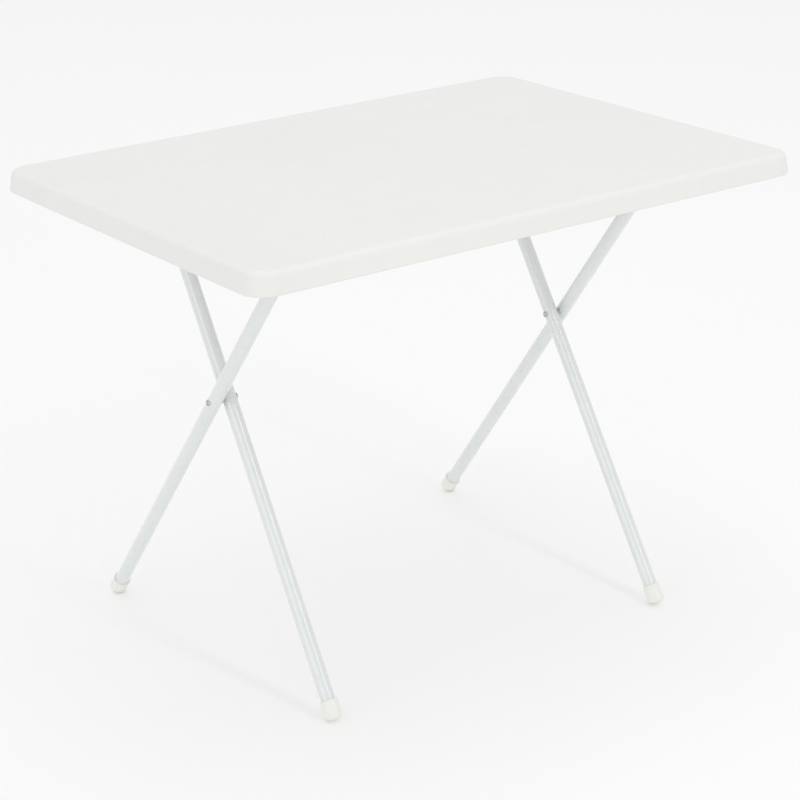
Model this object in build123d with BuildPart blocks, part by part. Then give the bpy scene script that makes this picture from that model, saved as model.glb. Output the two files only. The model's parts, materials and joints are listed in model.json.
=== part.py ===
from build123d import *
from math import atan2, cos, degrees, radians, sin, tan
import os

os.makedirs("parts", exist_ok=True)

# ---- Overall size (mm), long side along X, floor at Z = 0 -------------------
table_length = 788
table_width = 571
table_height = 600

# ---- Moulded resin top ------------------------------------------------------
skirt_depth = 27
skirt_flare = 4.7          # the skirt leans outward by this much at its lower edge
skirt_wall = 3.2
plate = 4.0
corner_radius = 30
rim_round = 8              # roll from the flat surface into the skirt
hem_round = 2.6            # rounding of the skirt's lower outer edge
skirt_taper = degrees(atan2(skirt_flare, skirt_depth))
plate_bottom = table_height - plate
skirt_bottom = table_height - skirt_depth

# ---- Steel tube and bars ----------------------------------------------------
tube_radius = 9
tube_wall = 1.2
bend_radius = 45
seat_gap = 0.4             # daylight between a bar and the pads above it
bar_height = 580           # centre height of both top bars
pad_bottom = bar_height + tube_radius + seat_gap
rib_depth = plate_bottom - pad_bottom
rib_width = 2.4

# ---- Crossing legs: each frame leans in the YZ plane ------------------------
outer_lean = 37.9          # degrees from vertical, feet at the rear
inner_lean = 31.6          # degrees from vertical, feet at the front
cross_height = 347
cross_y = 11.9
outer_half = 270.5         # leg centre at the rivet
tube_gap = 2.6             # between the two frames' legs
inner_half = outer_half - 2 * tube_radius - tube_gap
splay = 0.0125             # the legs spread by this slope towards the feet
outer_top_arm = (bar_height - cross_height) / cos(radians(outer_lean))
inner_top_arm = (bar_height - cross_height) / cos(radians(inner_lean))
outer_bar_y = cross_y - outer_top_arm * sin(radians(outer_lean))
inner_bar_y = cross_y + inner_top_arm * sin(radians(inner_lean))

# ---- Foot caps --------------------------------------------------------------
cap_radius = 11.1
cap_mouth_radius = 10.8    # the cap narrows slightly towards its open end
cap_round = 6.0
cap_length = 24
lip_radius = 11.15
lip_height = 1.6
lip_slope = 0.5            # height of the lip's lower shoulder

# ---- Rivets and washers -----------------------------------------------------
rivet_radius = 2.5
rivet_hole_radius = 2.55
rivet_head_radius = 4.2
rivet_head = 0.7
rivet_head_round = 0.4
rivet_dimple_radius = 2.3
rivet_dimple = 0.35
head_play = 0.2            # between the inner frame and the rivet's head
play = 0.4                 # between the inner frame and the spacer washer
crest_allowance = 0.12     # keeps flat washers off the tubes, which lean by the splay
spacer_radius = 4.2

# ---- Brackets under the top -------------------------------------------------
bracket_x = 150
bracket_width = 26
strap = 2.6                # the closed inner frame's bar has to pass the strap
flange = 3.6
bearing_radius = tube_radius + 0.06
hook_radius = tube_radius + seat_gap
hook_lip = 5
lip_droop = 8              # degrees; the hook's lip falls away so that the bar can slide in
lip_point = 1
bracket_plate_depth = 22
bracket_plate_width = 62
bracket_plate_corner = 5
pad_margin = 4
pad_corner = 4
screw_radius = 1.9
screw_hole_radius = 2.0
screw_head_radius = 3.8
screw_head = 2.2
screw_head_round = 1.2
screw_bite = 7.5
cross_slot = 4.4
cross_slot_width = 0.9
cross_slot_depth = 1.3
gusset = 4
gusset_reach = 11          # from the bracket's wall along its plate
gusset_drop = 4            # the web's tip lies this far below the bar's centre
sink = 1                   # overlap that joins a web to its bracket
screw_offset = 22          # from the middle of a bracket

# ---- Ribs -------------------------------------------------------------------
ribs_across = 9
ribs_along = 5


def frame_plane(lean):
    """Plane of a leg frame: X along the table, Y up the legs, origin between the rivets."""
    up = Vector(0, sin(radians(lean)), cos(radians(lean)))
    return Plane(origin=(0, cross_y, cross_height), x_dir=(1, 0, 0), z_dir=Vector(1, 0, 0).cross(up))


def foot_reach(lean):
    """Distance down the leg from the rivet to the centre of the cap's rounding."""
    rest_height = (cap_radius - cap_round) * sin(radians(abs(lean))) + cap_round
    return (cross_height - rest_height) / cos(radians(lean))


def leg_x(half, along):
    """Leg centre at a distance up (+) or down (-) the leg from the rivet."""
    return half - along * tan(splay)


def yz_plane(x):
    """Plane facing +X with local x along table Y and local y along table Z."""
    return Plane(origin=(x, 0, 0), x_dir=(0, 1, 0), z_dir=(1, 0, 0))


outer_foot = foot_reach(outer_lean)
inner_foot = foot_reach(inner_lean)
outer_plane = frame_plane(-outer_lean)
inner_plane = frame_plane(inner_lean)
clip_plate_y = outer_bar_y - bearing_radius - bracket_plate_depth / 2
hook_plate_y = inner_bar_y + hook_radius + bracket_plate_depth / 2
bracket_rows = ((clip_plate_y, bearing_radius), (hook_plate_y, -hook_radius))

# ---- Tabletop ---------------------------------------------------------------
cavity_length = table_length - 2 * skirt_wall
cavity_width = table_width - 2 * skirt_wall
cavity_radius = corner_radius - skirt_wall

with BuildPart() as tabletop:
    with BuildSketch(Plane.XY.offset(skirt_bottom)):
        RectangleRounded(table_length, table_width, corner_radius)
    extrude(amount=skirt_depth, taper=skirt_taper)
    fillet(tabletop.faces().sort_by(Axis.Z)[-1].edges(), rim_round)
    fillet(tabletop.faces().sort_by(Axis.Z)[0].edges(), hem_round)

    # hollow underside
    with BuildSketch(Plane.XY.offset(skirt_bottom)):
        RectangleRounded(cavity_length, cavity_width, cavity_radius)
    extrude(amount=skirt_depth - plate, taper=skirt_taper, mode=Mode.SUBTRACT)

    # stiffening ribs, clear of the skirt's curved corners
    with BuildSketch(Plane.XY.offset(pad_bottom)):
        with GridLocations(table_length / (ribs_across + 1), 0, ribs_across, 1):
            Rectangle(rib_width, cavity_width - 2 * skirt_flare)
        with GridLocations(0, table_width / (ribs_along + 1), 1, ribs_along):
            Rectangle(cavity_length - 2 * skirt_flare, rib_width)
    extrude(amount=rib_depth)

    # flat pads that carry the brackets and bear on the bars
    pad_length = bracket_plate_width + 2 * pad_margin
    pad_depth = bracket_plate_depth + 2 * hook_radius + 2 * pad_margin
    with BuildSketch(Plane.XY.offset(pad_bottom)):
        for plate_y, bar_side in bracket_rows:
            with Locations((-bracket_x, plate_y + bar_side), (bracket_x, plate_y + bar_side)):
                RectangleRounded(pad_length, pad_depth, pad_corner)
    extrude(amount=rib_depth)

    # pilot holes for the bracket screws
    with BuildSketch(Plane.XY.offset(pad_bottom)):
        for plate_y, bar_side in bracket_rows:
            with Locations((-bracket_x, plate_y), (bracket_x, plate_y)):
                with GridLocations(2 * screw_offset, 0, 2, 1):
                    Circle(screw_radius)
    extrude(amount=screw_bite, mode=Mode.SUBTRACT)

tabletop.part.label = "tabletop"
export_step(tabletop.part, "parts/tabletop.step")


# ---- Leg frames -------------------------------------------------------------
def frame_corners(half, foot, top):
    """Corner points of a U-shaped frame, foot to foot over the top bar."""
    foot_x = leg_x(half, -foot)
    top_x = leg_x(half, top)
    return [(-foot_x, -foot), (-top_x, top), (top_x, top), (foot_x, -foot)]


def add_bent_tube(plane, corners):
    """Adds a tube bent to a U to the open part, with its two rivet holes."""
    with BuildLine(plane) as path:
        FilletPolyline(*corners, radius=bend_radius)
    with BuildSketch(Plane(origin=path.line @ 0, z_dir=path.line % 0)) as section:
        Circle(tube_radius)
        Circle(tube_radius - tube_wall, mode=Mode.SUBTRACT)
    sweep(section.sketch, path=path.line)
    with BuildSketch(yz_plane(-table_length / 2)) as hole:
        with Locations((cross_y, cross_height)):
            Circle(rivet_hole_radius)
    extrude(hole.sketch, amount=table_length, mode=Mode.SUBTRACT)


with BuildPart() as outer_leg_frame:
    add_bent_tube(outer_plane, frame_corners(outer_half, outer_foot, outer_top_arm))

outer_leg_frame.part.label = "outer_leg_frame"
export_step(outer_leg_frame.part, "parts/outer_leg_frame.step")

with BuildPart() as inner_leg_frame:
    add_bent_tube(inner_plane, frame_corners(inner_half, inner_foot, inner_top_arm))

inner_leg_frame.part.label = "inner_leg_frame"
export_step(inner_leg_frame.part, "parts/inner_leg_frame.step")


# ---- Foot caps: cups pressed over the tube ends -----------------------------
def cap_profile_plane(plane, half, foot, side):
    """Plane through a leg's axis at its foot: local x is radial, local y runs up the leg."""
    centre = plane.from_local_coords(Vector(side * leg_x(half, -foot), -foot, 0))
    higher = plane.from_local_coords(Vector(side * leg_x(half, 0), 0, 0))
    up = (higher - centre).normalized()
    radial = plane.z_dir
    return Plane(origin=centre, x_dir=radial, z_dir=radial.cross(up))


cap_places = {
    "foot_cap_outer_left": (outer_plane, outer_half, outer_foot, -1),
    "foot_cap_outer_right": (outer_plane, outer_half, outer_foot, 1),
    "foot_cap_inner_left": (inner_plane, inner_half, inner_foot, -1),
    "foot_cap_inner_right": (inner_plane, inner_half, inner_foot, 1),
}
cap_top = cap_length - cap_round
lip_start = cap_top - lip_height
for cap_name, (leg_plane, half, foot, side) in cap_places.items():
    profile = cap_profile_plane(leg_plane, half, foot, side)
    with BuildPart() as foot_cap:
        with BuildSketch(profile):
            with BuildLine():
                Polyline((0, 0), (0, -cap_round), (cap_radius - cap_round, -cap_round))
                RadiusArc((cap_radius - cap_round, -cap_round), (cap_radius, 0), -cap_round)
                Polyline((cap_radius, 0), (cap_mouth_radius, lip_start), (lip_radius, lip_start + lip_slope),
                         (lip_radius, cap_top), (tube_radius, cap_top), (tube_radius, 0), (0, 0))
            make_face()
        revolve(axis=Axis(profile.origin, profile.y_dir))
    foot_cap.part.label = cap_name
    export_step(foot_cap.part, f"parts/{cap_name}.step")

# ---- Rivets and spacer washers at the two crossings --------------------------
outer_face = outer_half + tube_radius + crest_allowance
inner_face = inner_half - tube_radius - head_play
spacer_start = inner_half + tube_radius + play
spacer_end = outer_half - tube_radius - crest_allowance
rivet_axis = (cross_y, cross_height)
for side, side_name in ((-1, "left"), (1, "right")):
    with BuildPart() as rivet:
        with BuildSketch(yz_plane(side * inner_face)):
            with Locations(rivet_axis):
                Circle(rivet_radius)
        extrude(amount=side * (outer_face - inner_face))
        for start, reach in ((outer_face, rivet_head), (inner_face, -rivet_head)):
            with BuildSketch(yz_plane(side * start)):
                with Locations(rivet_axis):
                    Circle(rivet_head_radius)
            extrude(amount=side * reach)
        ends = rivet.faces().sort_by(Axis.X)
        fillet(ends[0].edges() + ends[-1].edges(), rivet_head_round)
        for end in (outer_face + rivet_head - rivet_dimple, inner_face - rivet_head - rivet_dimple):
            with BuildSketch(yz_plane(side * end)):
                with Locations(rivet_axis):
                    Circle(rivet_dimple_radius)
            extrude(amount=side * 2 * rivet_dimple, mode=Mode.SUBTRACT)
    rivet.part.label = f"rivet_{side_name}"
    export_step(rivet.part, f"parts/rivet_{side_name}.step")

    with BuildPart() as spacer_washer:
        with BuildSketch(yz_plane(side * spacer_start)):
            with Locations(rivet_axis):
                Circle(spacer_radius)
                Circle(rivet_radius, mode=Mode.SUBTRACT)
        extrude(amount=side * (spacer_end - spacer_start))
    spacer_washer.part.label = f"spacer_washer_{side_name}"
    export_step(spacer_washer.part, f"parts/spacer_washer_{side_name}.step")

# ---- Brackets under the top ---------------------------------------------------
flange_bottom = pad_bottom - flange


def add_bracket_plate(plate_x, plate_y):
    """Adds a screw plate against the pad to the open part, with its two holes."""
    with BuildSketch(Plane.XY.offset(pad_bottom)) as plate_outline:
        with Locations((plate_x, plate_y)):
            RectangleRounded(bracket_plate_width, bracket_plate_depth, bracket_plate_corner)
    extrude(plate_outline.sketch, amount=-flange)
    with BuildSketch(Plane.XY.offset(flange_bottom)) as holes:
        with Locations((plate_x, plate_y)):
            with GridLocations(2 * screw_offset, 0, 2, 1):
                Circle(screw_hole_radius)
    extrude(holes.sketch, amount=flange, mode=Mode.SUBTRACT)


def add_gusset(plate_x, wall_y, outward):
    """Adds a thin triangular web between a bracket's wall and its plate."""
    with BuildSketch(yz_plane(plate_x - gusset / 2)) as web:
        with BuildLine():
            Polyline((wall_y - outward * sink, flange_bottom + sink),
                     (wall_y + outward * gusset_reach, flange_bottom + sink),
                     (wall_y - outward * sink, bar_height - gusset_drop), close=True)
        make_face()
    extrude(web.sketch, amount=gusset)


# pivot clips: straps that let the outer frame's bar turn
clip_radius = bearing_radius + strap
for side, side_name in ((-1, "left"), (1, "right")):
    with BuildPart() as pivot_clip:
        with BuildSketch(yz_plane(side * bracket_x - bracket_width / 2)):
            with Locations((outer_bar_y, bar_height)):
                Circle(clip_radius)
            with Locations((outer_bar_y, (bar_height + pad_bottom) / 2)):
                Rectangle(2 * clip_radius, pad_bottom - bar_height)
            with Locations((outer_bar_y, pad_bottom + clip_radius)):
                Rectangle(2 * clip_radius, 2 * clip_radius, mode=Mode.SUBTRACT)
            with Locations((outer_bar_y, bar_height)):
                Circle(bearing_radius, mode=Mode.SUBTRACT)
            with Locations((outer_bar_y, bar_height + clip_radius)):
                Rectangle(2 * bearing_radius, 2 * clip_radius, mode=Mode.SUBTRACT)
        extrude(amount=bracket_width)
        add_bracket_plate(side * bracket_x, clip_plate_y)
        add_gusset(side * bracket_x, outer_bar_y - clip_radius, -1)
    pivot_clip.part.label = f"pivot_clip_{side_name}"
    export_step(pivot_clip.part, f"parts/pivot_clip_{side_name}.step")

# retaining hooks: they stop the inner frame's bar and let it slide out inward
hook_outer = hook_radius + strap
lip_drop = hook_lip * tan(radians(lip_droop))
lip_end = inner_bar_y - hook_lip
wall_in = inner_bar_y + hook_radius
wall_out = inner_bar_y + hook_outer
lip_top = bar_height - hook_radius
lip_bottom = bar_height - hook_outer
for side, side_name in ((-1, "left"), (1, "right")):
    with BuildPart() as retaining_hook:
        with BuildSketch(yz_plane(side * bracket_x - bracket_width / 2)):
            with BuildLine():
                Polyline((wall_in, bar_height), (wall_in, pad_bottom),
                         (wall_out, pad_bottom), (wall_out, bar_height))
                RadiusArc((wall_out, bar_height), (inner_bar_y, lip_bottom), hook_outer)
                Polyline((inner_bar_y, lip_bottom), (lip_end, lip_bottom - lip_drop),
                         (lip_end - lip_point, (lip_top + lip_bottom) / 2 - lip_drop),
                         (lip_end, lip_top - lip_drop), (inner_bar_y, lip_top))
                RadiusArc((inner_bar_y, lip_top), (wall_in, bar_height), -hook_radius)
            make_face()
        extrude(amount=bracket_width)
        add_bracket_plate(side * bracket_x, hook_plate_y)
        add_gusset(side * bracket_x, wall_out, 1)
    retaining_hook.part.label = f"retaining_hook_{side_name}"
    export_step(retaining_hook.part, f"parts/retaining_hook_{side_name}.step")

# ---- Bracket screws ---------------------------------------------------------
for group_name, plate_y in (("pivot_clip_screws", clip_plate_y), ("hook_screws", hook_plate_y)):
    places = [(side * bracket_x + end * screw_offset, plate_y) for side in (-1, 1) for end in (-1, 1)]
    with BuildPart() as screws:
        with BuildSketch(Plane.XY.offset(flange_bottom)):
            with Locations(*places):
                Circle(screw_head_radius)
        extrude(amount=-screw_head)
        fillet(screws.faces().group_by(Axis.Z)[0].edges(), screw_head_round)
        with BuildSketch(Plane.XY.offset(flange_bottom)):
            with Locations(*places):
                Circle(screw_radius)
        extrude(amount=flange + screw_bite)
        with BuildSketch(Plane.XY.offset(flange_bottom - screw_head)):
            with Locations(*places):
                Rectangle(cross_slot, cross_slot_width)
                Rectangle(cross_slot_width, cross_slot)
        extrude(amount=cross_slot_depth, mode=Mode.SUBTRACT)
    screws.part.label = group_name
    export_step(screws.part, f"parts/{group_name}.step")
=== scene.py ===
import json
from math import cos, sin

import bpy
from mathutils import Matrix, Vector


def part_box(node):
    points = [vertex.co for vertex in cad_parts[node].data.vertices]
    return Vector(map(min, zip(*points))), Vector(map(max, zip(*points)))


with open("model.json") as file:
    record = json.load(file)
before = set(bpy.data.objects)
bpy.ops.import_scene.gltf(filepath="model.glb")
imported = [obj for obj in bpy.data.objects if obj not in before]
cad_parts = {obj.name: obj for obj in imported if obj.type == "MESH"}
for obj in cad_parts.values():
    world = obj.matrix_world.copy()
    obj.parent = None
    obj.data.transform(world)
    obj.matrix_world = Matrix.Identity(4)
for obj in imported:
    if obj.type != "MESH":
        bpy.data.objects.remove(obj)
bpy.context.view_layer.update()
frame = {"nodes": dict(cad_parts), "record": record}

# Everything is in metres and radians, in the CAD frame.

# ---------------------------------------------------------------- camera
CAMERA_PLACE = Vector((-1.6154, -2.2325, 1.3281))
CAMERA_AIM = Vector((-0.1008, -0.1309, 0.35))
CAMERA_ROLL = 0.0209
FOCAL_LENGTH = 104.97    # millimetres, like the width of the sensor
SENSOR_WIDTH = 36.0
VIEW_DEPTH = 50


def add_camera():
    """Camera at the table's three-quarter view, with the small roll that the view has."""
    forward = (CAMERA_AIM - CAMERA_PLACE).normalized()
    level_right = forward.cross(Vector((0, 0, 1))).normalized()
    level_down = forward.cross(level_right).normalized()
    right = cos(CAMERA_ROLL) * level_right + sin(CAMERA_ROLL) * level_down
    down = cos(CAMERA_ROLL) * level_down - sin(CAMERA_ROLL) * level_right
    turn = Matrix((right, -down, -forward)).transposed()
    lens = bpy.data.cameras.new("camera")
    lens.lens = FOCAL_LENGTH
    lens.sensor_width = SENSOR_WIDTH
    lens.clip_end = VIEW_DEPTH
    camera = bpy.data.objects.new("camera", lens)
    camera.matrix_world = Matrix.Translation(CAMERA_PLACE) @ turn.to_4x4()
    bpy.context.scene.collection.objects.link(camera)
    bpy.context.scene.camera = camera


# ---------------------------------------------------------------- material helpers
MIX_INPUTS = (6, 7)    # the colour sockets of a Mix node, which share their names with other types
MIX_RESULT = 2


class Shader:
    """A node material with short calls for the nodes that the finishes below share."""

    def __init__(self, name):
        self.material = bpy.data.materials.new(name)
        self.material.use_nodes = True
        tree = self.material.node_tree
        self.nodes, self.links = tree.nodes, tree.links
        self.nodes.clear()
        output = self.nodes.new("ShaderNodeOutputMaterial")
        self.surface = self.nodes.new("ShaderNodeBsdfPrincipled")
        self.links.new(self.surface.outputs["BSDF"], output.inputs["Surface"])
        self.place = self.nodes.new("ShaderNodeTexCoord").outputs["Object"]
        self.normal = None

    def constant(self, socket, value):
        """Sets a property that is the same all over the surface."""
        self.surface.inputs[socket].default_value = value

    def mapped(self, scale, location=(0, 0, 0)):
        """Object coordinates scaled by a different amount along each axis, then moved."""
        mapping = self.nodes.new("ShaderNodeMapping")
        mapping.inputs["Location"].default_value = location
        mapping.inputs["Scale"].default_value = scale
        self.links.new(self.place, mapping.inputs["Vector"])
        return mapping.outputs["Vector"]

    def along(self, axis):
        """The X, Y or Z coordinate at rest."""
        node = self.nodes.new("ShaderNodeSeparateXYZ")
        self.links.new(self.place, node.inputs["Vector"])
        return node.outputs[axis]

    def length(self, vector):
        node = self.nodes.new("ShaderNodeVectorMath")
        node.operation = "LENGTH"
        self.links.new(vector, node.inputs[0])
        return node.outputs["Value"]

    def noise(self, scale, detail=3.0, roughness=0.5, vector=None, distortion=0.0):
        node = self.nodes.new("ShaderNodeTexNoise")
        node.inputs["Scale"].default_value = scale
        node.inputs["Detail"].default_value = detail
        node.inputs["Roughness"].default_value = roughness
        node.inputs["Distortion"].default_value = distortion
        self.links.new(vector or self.place, node.inputs["Vector"])
        return node.outputs["Fac"]

    def cells(self, scale):
        """Distance to the middle of the nearest of many small cells."""
        node = self.nodes.new("ShaderNodeTexVoronoi")
        node.inputs["Scale"].default_value = scale
        self.links.new(self.place, node.inputs["Vector"])
        return node.outputs["Distance"]

    def spread(self, value, low, high, to_low=0.0, to_high=1.0):
        """Maps low..high to to_low..to_high, and holds the ends beyond it."""
        node = self.nodes.new("ShaderNodeMapRange")
        node.inputs["From Min"].default_value = low
        node.inputs["From Max"].default_value = high
        node.inputs["To Min"].default_value = to_low
        node.inputs["To Max"].default_value = to_high
        self.links.new(value, node.inputs["Value"])
        return node.outputs["Result"]

    def math(self, operation, *operands):
        node = self.nodes.new("ShaderNodeMath")
        node.operation = operation
        for socket, value in zip(node.inputs, operands):
            if isinstance(value, (int, float)):
                socket.default_value = value
            else:
                self.links.new(value, socket)
        return node.outputs["Value"]

    def edges(self, low, high):
        """1 on raised edges, 0 on flats and in hollows."""
        geometry = self.nodes.new("ShaderNodeNewGeometry")
        return self.spread(geometry.outputs["Pointiness"], low, high)

    def mix(self, factor, first, second):
        """The first colour where the factor is 0, the second where it is 1."""
        node = self.nodes.new("ShaderNodeMix")
        node.data_type = "RGBA"
        self.links.new(factor, node.inputs["Factor"])
        for index, colour in zip(MIX_INPUTS, (first, second)):
            if isinstance(colour, tuple):
                node.inputs[index].default_value = (*colour, 1)
            else:
                self.links.new(colour, node.inputs[index])
        return node.outputs[MIX_RESULT]

    def colour(self, value):
        self.links.new(value, self.surface.inputs["Base Color"])

    def roughness(self, value):
        self.links.new(value, self.surface.inputs["Roughness"])

    def bump(self, value, strength, distance):
        """Adds a relief on top of those before it."""
        node = self.nodes.new("ShaderNodeBump")
        node.inputs["Strength"].default_value = strength
        node.inputs["Distance"].default_value = distance
        self.links.new(value, node.inputs["Height"])
        if self.normal:
            self.links.new(self.normal, node.inputs["Normal"])
        self.normal = node.outputs["Normal"]
        self.links.new(self.normal, self.surface.inputs["Normal"])


# ---------------------------------------------------------------- tabletop
RESIN_DEEP = (0.812, 0.812, 0.795)
RESIN_PALE = (0.830, 0.829, 0.812)
RESIN_WARM = (0.800, 0.798, 0.775)
RESIN_SCRATCH = (0.88, 0.88, 0.87)
RESIN_RUBBED = (0.74, 0.73, 0.70)
SCRATCH_STRETCH = (240, 9, 60)    # scratches run along the top's short side


def top_resin():
    """Moulded white resin: faint flow mottling, fine grain, light scuffs."""
    m = Shader("top_resin")
    flow = m.noise(3.2, detail=4, roughness=0.55, distortion=0.6)
    cloud = m.noise(22, detail=3, roughness=0.6)
    tint = m.mix(m.spread(flow, 0.35, 0.65), RESIN_DEEP, RESIN_PALE)
    tint = m.mix(m.spread(cloud, 0.42, 0.75, to_high=0.35), tint, RESIN_WARM)
    scuff = m.noise(1.0, detail=6, roughness=0.6, vector=m.mapped(SCRATCH_STRETCH), distortion=0.3)
    scratch = m.spread(scuff, 0.69, 0.76, to_high=0.22)
    patches = m.spread(m.noise(60, detail=4, roughness=0.6), 0.45, 0.7)
    worn = m.math("MULTIPLY", m.edges(0.52, 0.60), patches)
    scratched = m.mix(scratch, tint, RESIN_SCRATCH)
    m.colour(m.mix(m.math("MULTIPLY", worn, 0.3), scratched, RESIN_RUBBED))
    grain = m.noise(1500, detail=2)
    gloss = m.math("ADD", m.spread(cloud, 0.3, 0.7, 0.36, 0.47), scratch)
    m.roughness(m.math("ADD", gloss, m.spread(grain, 0.3, 0.7, -0.02, 0.03)))
    m.bump(m.cells(620), 0.5, 0.0004)
    m.bump(grain, 0.3, 0.0001)
    m.bump(m.noise(9, detail=2, roughness=0.4), 0.10, 0.0012)
    return m.material


# ---------------------------------------------------------------- legs
PAINT_PALE = (0.760, 0.787, 0.787)
PAINT_DEEP = (0.734, 0.762, 0.762)
PAINT_SCUFF = (0.55, 0.56, 0.55)
PAINT_CHIP = (0.42, 0.43, 0.43)
RUB_STRETCH = (420, 70, 70)
WEAR_TOP = 0.16          # scuffs grow from this height above the floor
WEAR_FULL = 0.03         # down to this one


def leg_paint():
    """Cool white powder coat over tube: orange peel, small chips, more scuffs near the feet."""
    m = Shader("leg_paint")
    m.constant("Specular IOR Level", 0.4)
    m.constant("Coat Weight", 1.0)
    m.constant("Coat Roughness", 0.04)
    m.constant("Coat IOR", 1.7)
    cloud = m.noise(38, detail=4, roughness=0.6)
    tint = m.mix(m.spread(cloud, 0.35, 0.7), PAINT_PALE, PAINT_DEEP)
    low = m.spread(m.along("Z"), WEAR_FULL, WEAR_TOP, 1, 0)
    rub = m.noise(1.0, detail=6, roughness=0.65, vector=m.mapped(RUB_STRETCH), distortion=0.4)
    specks = m.spread(m.noise(420, detail=3, roughness=0.7), 0.66, 0.72)
    chips = m.math("MULTIPLY", specks, m.spread(m.noise(30, detail=2), 0.5, 0.7))
    wear = m.math("ADD", m.math("MULTIPLY", low, 0.5), 0.12)
    scuffs = m.math("MULTIPLY", m.spread(rub, 0.6, 0.72), wear)
    scuffed = m.mix(scuffs, tint, PAINT_SCUFF)
    m.colour(m.mix(m.math("MULTIPLY", chips, 0.35), scuffed, PAINT_CHIP))
    gloss = m.spread(cloud, 0.3, 0.7, 0.13, 0.21)
    m.roughness(m.math("ADD", gloss, m.math("MULTIPLY", scuffs, 0.35)))
    m.bump(m.noise(620, detail=2, roughness=0.4), 0.12, 0.00018)
    m.bump(m.noise(120, detail=2), 0.08, 0.0004)
    return m.material


# ---------------------------------------------------------------- foot caps
IVORY_PALE = (0.870, 0.870, 0.828)
IVORY_DEEP = (0.842, 0.840, 0.794)
FLOOR_DIRT = (0.47, 0.45, 0.40)
DIRT_HEIGHT = 0.007


def foot_plastic():
    """Ivory plastic, dirtied where it meets the floor."""
    m = Shader("foot_plastic")
    cloud = m.noise(160, detail=4, roughness=0.6)
    tint = m.mix(m.spread(cloud, 0.35, 0.7), IVORY_PALE, IVORY_DEEP)
    near_floor = m.spread(m.along("Z"), 0.0, DIRT_HEIGHT, 1, 0)
    blotches = m.spread(m.noise(380, detail=5, roughness=0.65), 0.3, 0.6, 0.3, 0.9)
    dirt = m.math("MULTIPLY", near_floor, blotches)
    m.colour(m.mix(dirt, tint, FLOOR_DIRT))
    gloss = m.spread(cloud, 0.3, 0.7, 0.34, 0.46)
    m.roughness(m.math("ADD", gloss, m.math("MULTIPLY", dirt, 0.25)))
    m.bump(m.noise(1900, detail=2), 0.18, 0.00012)
    m.bump(m.noise(260), 0.10, 0.0003)
    return m.material


# ---------------------------------------------------------------- rivets
rivet_low, rivet_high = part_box("rivet_left")
RIVET_AXIS = (rivet_low + rivet_high) / 2
RIVET_REACH = (rivet_high.x - rivet_low.x) / 2
HEAD_FACE = 0.0004          # depth of the part of a rivet's head that shows bare metal
FACE_BLEND = 0.00005
RIVET_CENTRE = 0.0023       # radius of the bright centre in a rivet's head
RIVET_RING = 0.0036         # outer radius of the dark ring round it, darkened metal with painted shade of the groove round the centre; the paint covers the rest
RING_BLEND = (-0.0001, 0.0002)
CENTRE_PALE = (0.72, 0.725, 0.73)
CENTRE_DULL = (0.60, 0.60, 0.59)
# the ring's colours: darkened metal, with painted shade of the groove round the head's centre
SHADED_RING_PALE = (0.36, 0.36, 0.36)
SHADED_RING_DULL = (0.29, 0.288, 0.285)
RIVET_PAINT = (0.742, 0.772, 0.772)
BARE_METALLIC = 0.7
BRUSHED_STRETCH = (400, 5200, 5200)


def rivet_steel():
    """A bright centre in a dark ring on a head's face, the ring darkened metal with painted shade of the
    groove round the centre; painted like the legs elsewhere.
    """
    m = Shader("rivet_steel")
    radius = m.length(m.mapped((0, 1, 1), location=(0, -RIVET_AXIS.y, -RIVET_AXIS.z)))
    inner, outer = RING_BLEND
    # mask of the ring of painted shade round the bright centre
    shaded_ring_mask = m.spread(radius, RIVET_CENTRE + inner, RIVET_CENTRE + outer)
    patina = m.noise(700, detail=5, roughness=0.65)
    bright = m.mix(m.spread(patina, 0.35, 0.7), CENTRE_PALE, CENTRE_DULL)
    # the ring's colour: darkened metal with painted shade in it
    ring_metal_and_painted_shade = m.mix(m.spread(patina, 0.35, 0.7), SHADED_RING_PALE, SHADED_RING_DULL)
    from_middle = m.math("SUBTRACT", m.math("ABSOLUTE", m.along("X")), abs(RIVET_AXIS.x))
    face_start = RIVET_REACH - HEAD_FACE
    face = m.spread(m.math("ABSOLUTE", from_middle), face_start - FACE_BLEND, face_start)
    beyond = m.spread(radius, RIVET_RING + inner, RIVET_RING + outer)
    painted = m.math("MAXIMUM", beyond, m.math("SUBTRACT", 1.0, face))
    m.colour(m.mix(painted, m.mix(shaded_ring_mask, bright, ring_metal_and_painted_shade), RIVET_PAINT))
    m.links.new(m.spread(painted, 0.0, 1.0, BARE_METALLIC, 0.0), m.surface.inputs["Metallic"])
    m.roughness(m.spread(patina, 0.3, 0.7, 0.30, 0.48))
    m.bump(m.noise(1.0, detail=4, roughness=0.6, vector=m.mapped(BRUSHED_STRETCH)), 0.14, 0.00006)
    return m.material


# ---------------------------------------------------------------- washers, brackets, screws
WASHER_PALE = (0.500, 0.520, 0.518)
WASHER_WHITE = (0.550, 0.568, 0.566)
BRACKET_PALE = (0.700, 0.700, 0.678)
BRACKET_DEEP = (0.672, 0.671, 0.648)
BRACKET_RUBBED = (0.76, 0.76, 0.74)
ZINC_PALE = (0.66, 0.665, 0.67)
ZINC_DULL = (0.46, 0.455, 0.44)


def washer_nylon():
    """Light grey nylon with a fine matte grain."""
    m = Shader("washer_nylon")
    grain = m.noise(900, detail=4, roughness=0.6)
    m.colour(m.mix(m.spread(grain, 0.35, 0.7), WASHER_PALE, WASHER_WHITE))
    m.roughness(m.spread(grain, 0.3, 0.7, 0.46, 0.66))
    m.bump(grain, 0.2, 0.00008)
    return m.material


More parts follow.
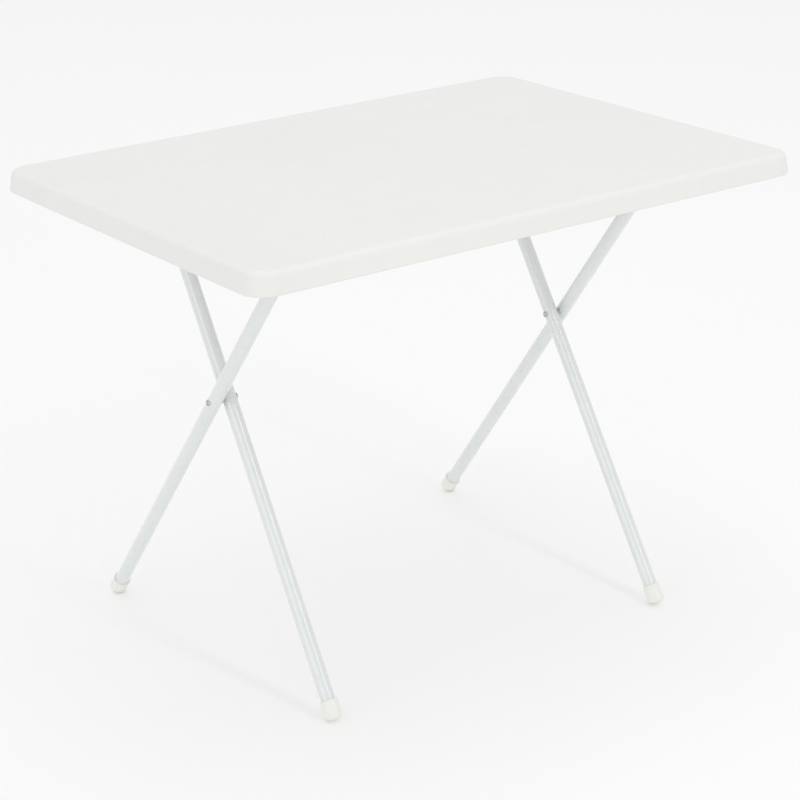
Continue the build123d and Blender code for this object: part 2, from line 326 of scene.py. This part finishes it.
def bracket_plastic():
    """Off-white moulded nylon: flow mottling, matte grain, rubbed edges."""
    m = Shader("bracket_plastic")
    cloud = m.noise(120, detail=4, roughness=0.6, distortion=0.8)
    tint = m.mix(m.spread(cloud, 0.35, 0.7), BRACKET_PALE, BRACKET_DEEP)
    patches = m.spread(m.noise(400, detail=4, roughness=0.6), 0.4, 0.7, to_high=0.5)
    rubbed = m.math("MULTIPLY", m.edges(0.52, 0.6), patches)
    m.colour(m.mix(rubbed, tint, BRACKET_RUBBED))
    m.roughness(m.spread(cloud, 0.3, 0.7, 0.42, 0.58))
    m.bump(m.noise(1700, detail=2), 0.22, 0.00012)
    return m.material


def screw_steel():
    """Bright zinc with dull patches and a fine grain."""
    m = Shader("screw_steel")
    m.constant("Metallic", 1.0)
    plating = m.noise(900, detail=4, roughness=0.6)
    m.colour(m.mix(m.spread(plating, 0.35, 0.7), ZINC_PALE, ZINC_DULL))
    m.roughness(m.spread(plating, 0.3, 0.7, 0.22, 0.42))
    m.bump(m.noise(3000, roughness=0.6), 0.12, 0.00005)
    return m.material


# ---------------------------------------------------------------- finishes on the nodes
FINISHES = {
    "top_resin": top_resin(),
    "leg_paint": leg_paint(),
    "foot_plastic": foot_plastic(),
    "rivet_steel": rivet_steel(),
    "washer_nylon": washer_nylon(),
    "bracket_plastic": bracket_plastic(),
    "screw_steel": screw_steel(),
}


def finish_nodes():
    """Gives every carried-over part the finish of its material slot."""
    slots = {entry["node"]: entry["material_slot"] for entry in frame["record"]["subparts"]}
    for node, part in frame["nodes"].items():
        part.data.materials.clear()
        part.data.materials.append(FINISHES[slots[node]])


# ---------------------------------------------------------------- stage
STAGE_SIZE = 24.0
FLOOR_GREYS = ((0.595, 0.595, 0.595), (0.605, 0.605, 0.605))
WHITE = (1, 1, 1, 1)
FLOOR_GLOW = 0.36        # lifts the floor to the white of a studio sweep and softens its shadows
SKY_STRENGTH = 0.85
WALL_STRENGTH = 0.94     # the white that shows above the floor's far edge
TABLE_MIDDLE = (0, 0, 0.4)
NEUTRAL_LIGHT = (1, 1, 1)
WARM_LIGHT = (1.0, 0.985, 0.96)
LIGHTS = (               # name, place, aim, width and height, watts, colour
    ("overhead", (0.4, 0.6, 5.0), TABLE_MIDDLE, (4.0, 4.0), 30, NEUTRAL_LIGHT),
    ("key_strip", (0.3, -2.6, 2.3), (0, 0, 0.25), (0.3, 2.4), 11.5, WARM_LIGHT),
    ("left_wall", (-7.1, -2.0, 2.1), TABLE_MIDDLE, (4.1, 4.4), 46, NEUTRAL_LIGHT),
)


def floor_paint():
    m = Shader("floor")
    m.constant("Roughness", 0.9)
    m.constant("Specular IOR Level", 0.1)
    m.constant("Emission Color", WHITE)
    m.constant("Emission Strength", FLOOR_GLOW)
    m.colour(m.mix(m.noise(2.0), *FLOOR_GREYS))
    return m.material


def add_floor():
    half = STAGE_SIZE / 2
    corners = [(-half, -half, 0), (half, -half, 0), (half, half, 0), (-half, half, 0)]
    floor_mesh = bpy.data.meshes.new("floor")
    floor_mesh.from_pydata(corners, [], [(0, 1, 2, 3)])
    floor_mesh.materials.append(floor_paint())
    floor = bpy.data.objects.new("floor", floor_mesh)
    bpy.context.scene.collection.objects.link(floor)


def add_light(name, place, aim, size, power, colour):
    lamp = bpy.data.lights.new(name, "AREA")
    lamp.shape = "RECTANGLE"
    lamp.size, lamp.size_y = size
    lamp.energy = power
    lamp.color = colour
    light = bpy.data.objects.new(name, lamp)
    light.location = place
    light.rotation_euler = (Vector(aim) - Vector(place)).to_track_quat("-Z", "Y").to_euler()
    bpy.context.scene.collection.objects.link(light)


def add_world():
    """White light from all round, and a slightly brighter white where the camera sees past the floor."""
    world = bpy.data.worlds.new("studio")
    world.use_nodes = True
    nodes, links = world.node_tree.nodes, world.node_tree.links
    sky = nodes["Background"]
    wall = nodes.new("ShaderNodeBackground")
    for background, strength in ((sky, SKY_STRENGTH), (wall, WALL_STRENGTH)):
        background.inputs["Color"].default_value = WHITE
        background.inputs["Strength"].default_value = strength
    rays = nodes.new("ShaderNodeLightPath")
    choice = nodes.new("ShaderNodeMixShader")
    factor, off, on = choice.inputs
    links.new(rays.outputs["Is Camera Ray"], factor)
    links.new(sky.outputs["Background"], off)
    links.new(wall.outputs["Background"], on)
    links.new(choice.outputs["Shader"], nodes["World Output"].inputs["Surface"])
    bpy.context.scene.world = world


bpy.context.scene.view_settings.view_transform = "Standard"
add_camera()
finish_nodes()
add_floor()
for light in LIGHTS:
    add_light(*light)
add_world()
